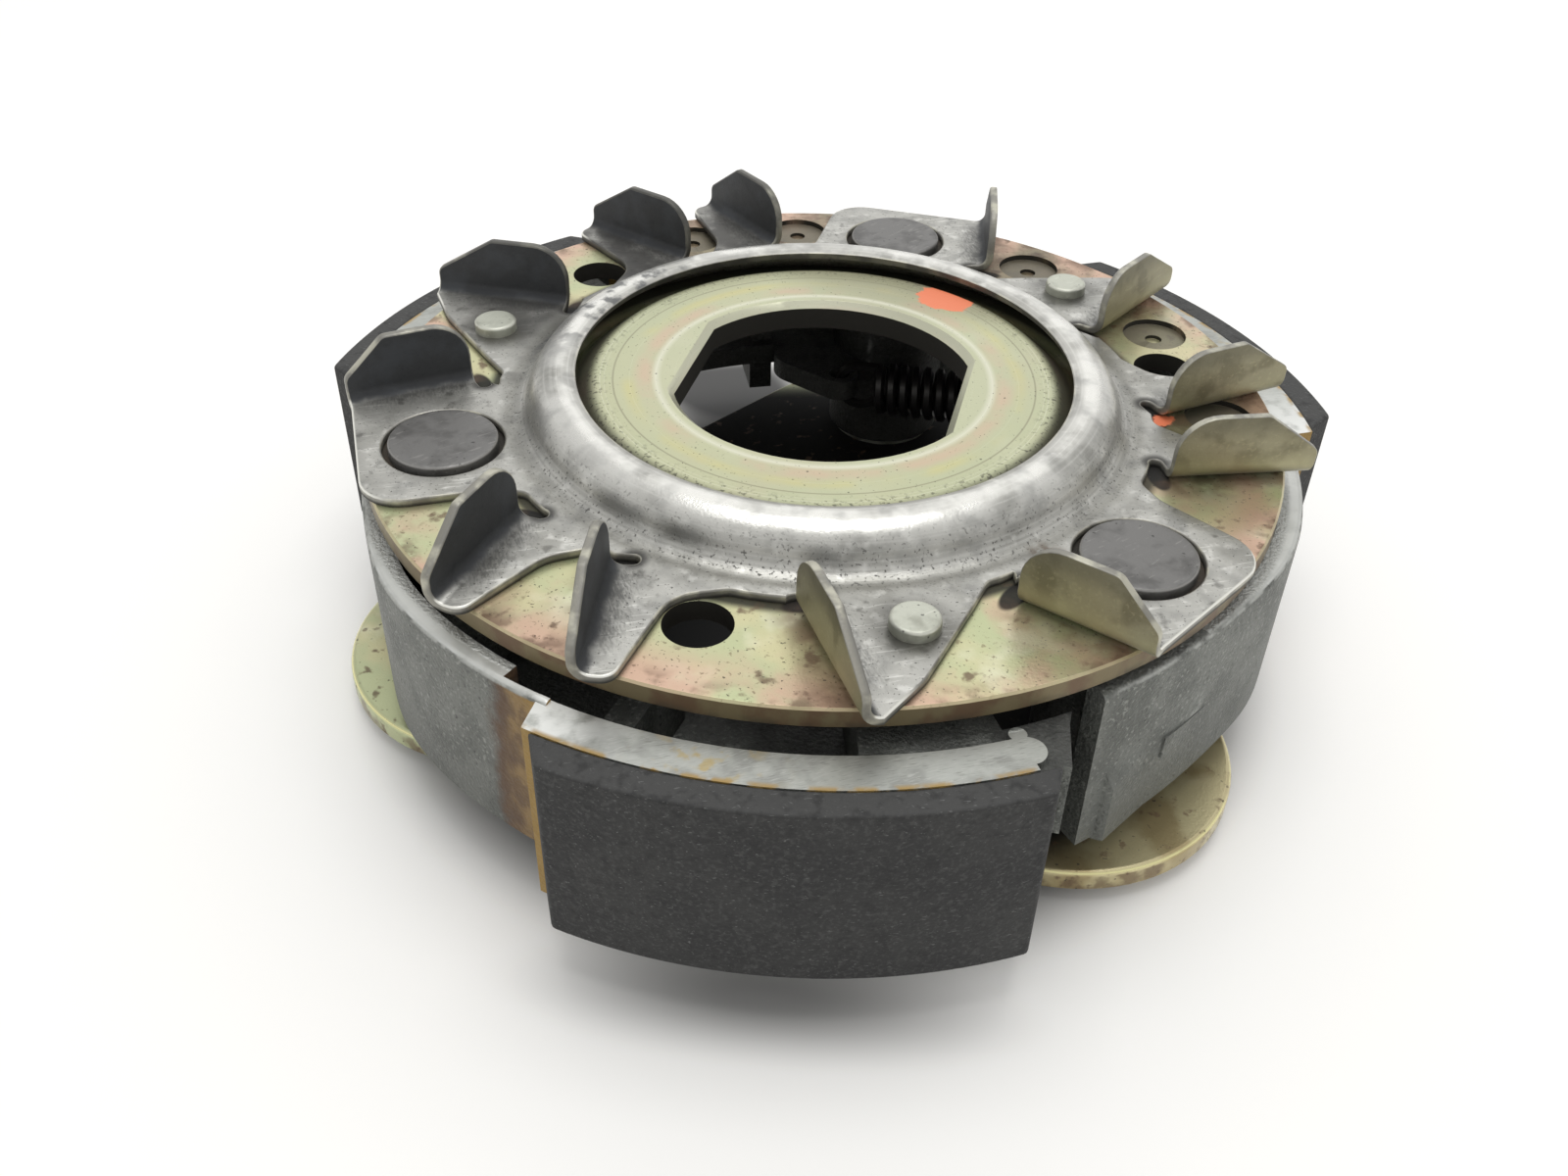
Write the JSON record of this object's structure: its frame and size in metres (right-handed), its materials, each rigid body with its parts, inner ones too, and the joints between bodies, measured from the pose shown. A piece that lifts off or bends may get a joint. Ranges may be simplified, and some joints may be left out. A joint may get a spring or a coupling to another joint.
{
  "type": "centrifugal clutch",
  "caption": "Centrifugal clutch shoe carrier: finned fan plate and zinc drive plate over swinging cast shoes with glued friction linings, springs and a lobed side plate.",
  "frame": {"origin": "on the clutch axis, in the upper face of the drive plate, at the centre of the three tool holes", "axes": "+Z along the clutch axis, towards the fan; pivot pins at 90, 210 and 330 degrees from +X"},
  "size_m": [0.1518, 0.1512, 0.0513],
  "materials": {
    "yellow_zinc": "yellow zinc plating on pressed steel, worn",
    "bare_steel": "bare pressed steel, stained",
    "dark_steel": "dark hardened steel",
    "spring_steel": "spring wire",
    "cast_aluminium": "die-cast aluminium, dull and dirty",
    "friction_lining": "moulded friction material, matt",
    "rubber": "moulded rubber"
  },
  "bodies": {
    "carrier": {"drive_plate": "yellow_zinc", "fan_plate": "bare_steel", "side_plate": "yellow_zinc", "pivot_pin_1": "dark_steel", "pivot_pin_2": "dark_steel", "pivot_pin_3": "dark_steel", "washer_1": "bare_steel", "washer_2": "bare_steel", "washer_3": "bare_steel", "clip_1": "dark_steel", "clip_2": "dark_steel", "clip_3": "dark_steel", "damper_pin_1": "bare_steel", "damper_pin_2": "bare_steel", "damper_pin_3": "bare_steel", "damper_rubber_1": "rubber", "damper_rubber_2": "rubber", "damper_rubber_3": "rubber"},
    "shoe_body_1": {"shoe_1": "cast_aluminium", "lining_1": "friction_lining", "spring_1": "spring_steel"},
    "shoe_body_2": {"shoe_2": "cast_aluminium", "lining_2": "friction_lining", "spring_2": "spring_steel"},
    "shoe_body_3": {"shoe_3": "cast_aluminium", "lining_3": "friction_lining", "spring_3": "spring_steel"}
  },
  "joints": [
    {"name": "shoe_swing_1", "type": "hinge", "parent": "carrier", "child": "shoe_body_1", "pos_m": [-0.04746, -0.0274, -0.019], "axis": [0, 0, -1], "range_deg": [0, 3], "stiffness_Nm_per_rad": 30, "springref_deg": -8.59, "deforming": ["spring_1"]},
    {"name": "shoe_swing_2", "type": "hinge", "parent": "carrier", "child": "shoe_body_2", "pos_m": [0.04746, -0.0274, -0.019], "axis": [0, 0, -1], "range_deg": [0, 3], "stiffness_Nm_per_rad": 30, "springref_deg": -8.59, "deforming": ["spring_2"]},
    {"name": "shoe_swing_3", "type": "hinge", "parent": "carrier", "child": "shoe_body_3", "pos_m": [0, 0.0548, -0.019], "axis": [0, 0, -1], "range_deg": [0, 3], "stiffness_Nm_per_rad": 30, "springref_deg": -8.59, "deforming": ["spring_3"]}
  ]
}
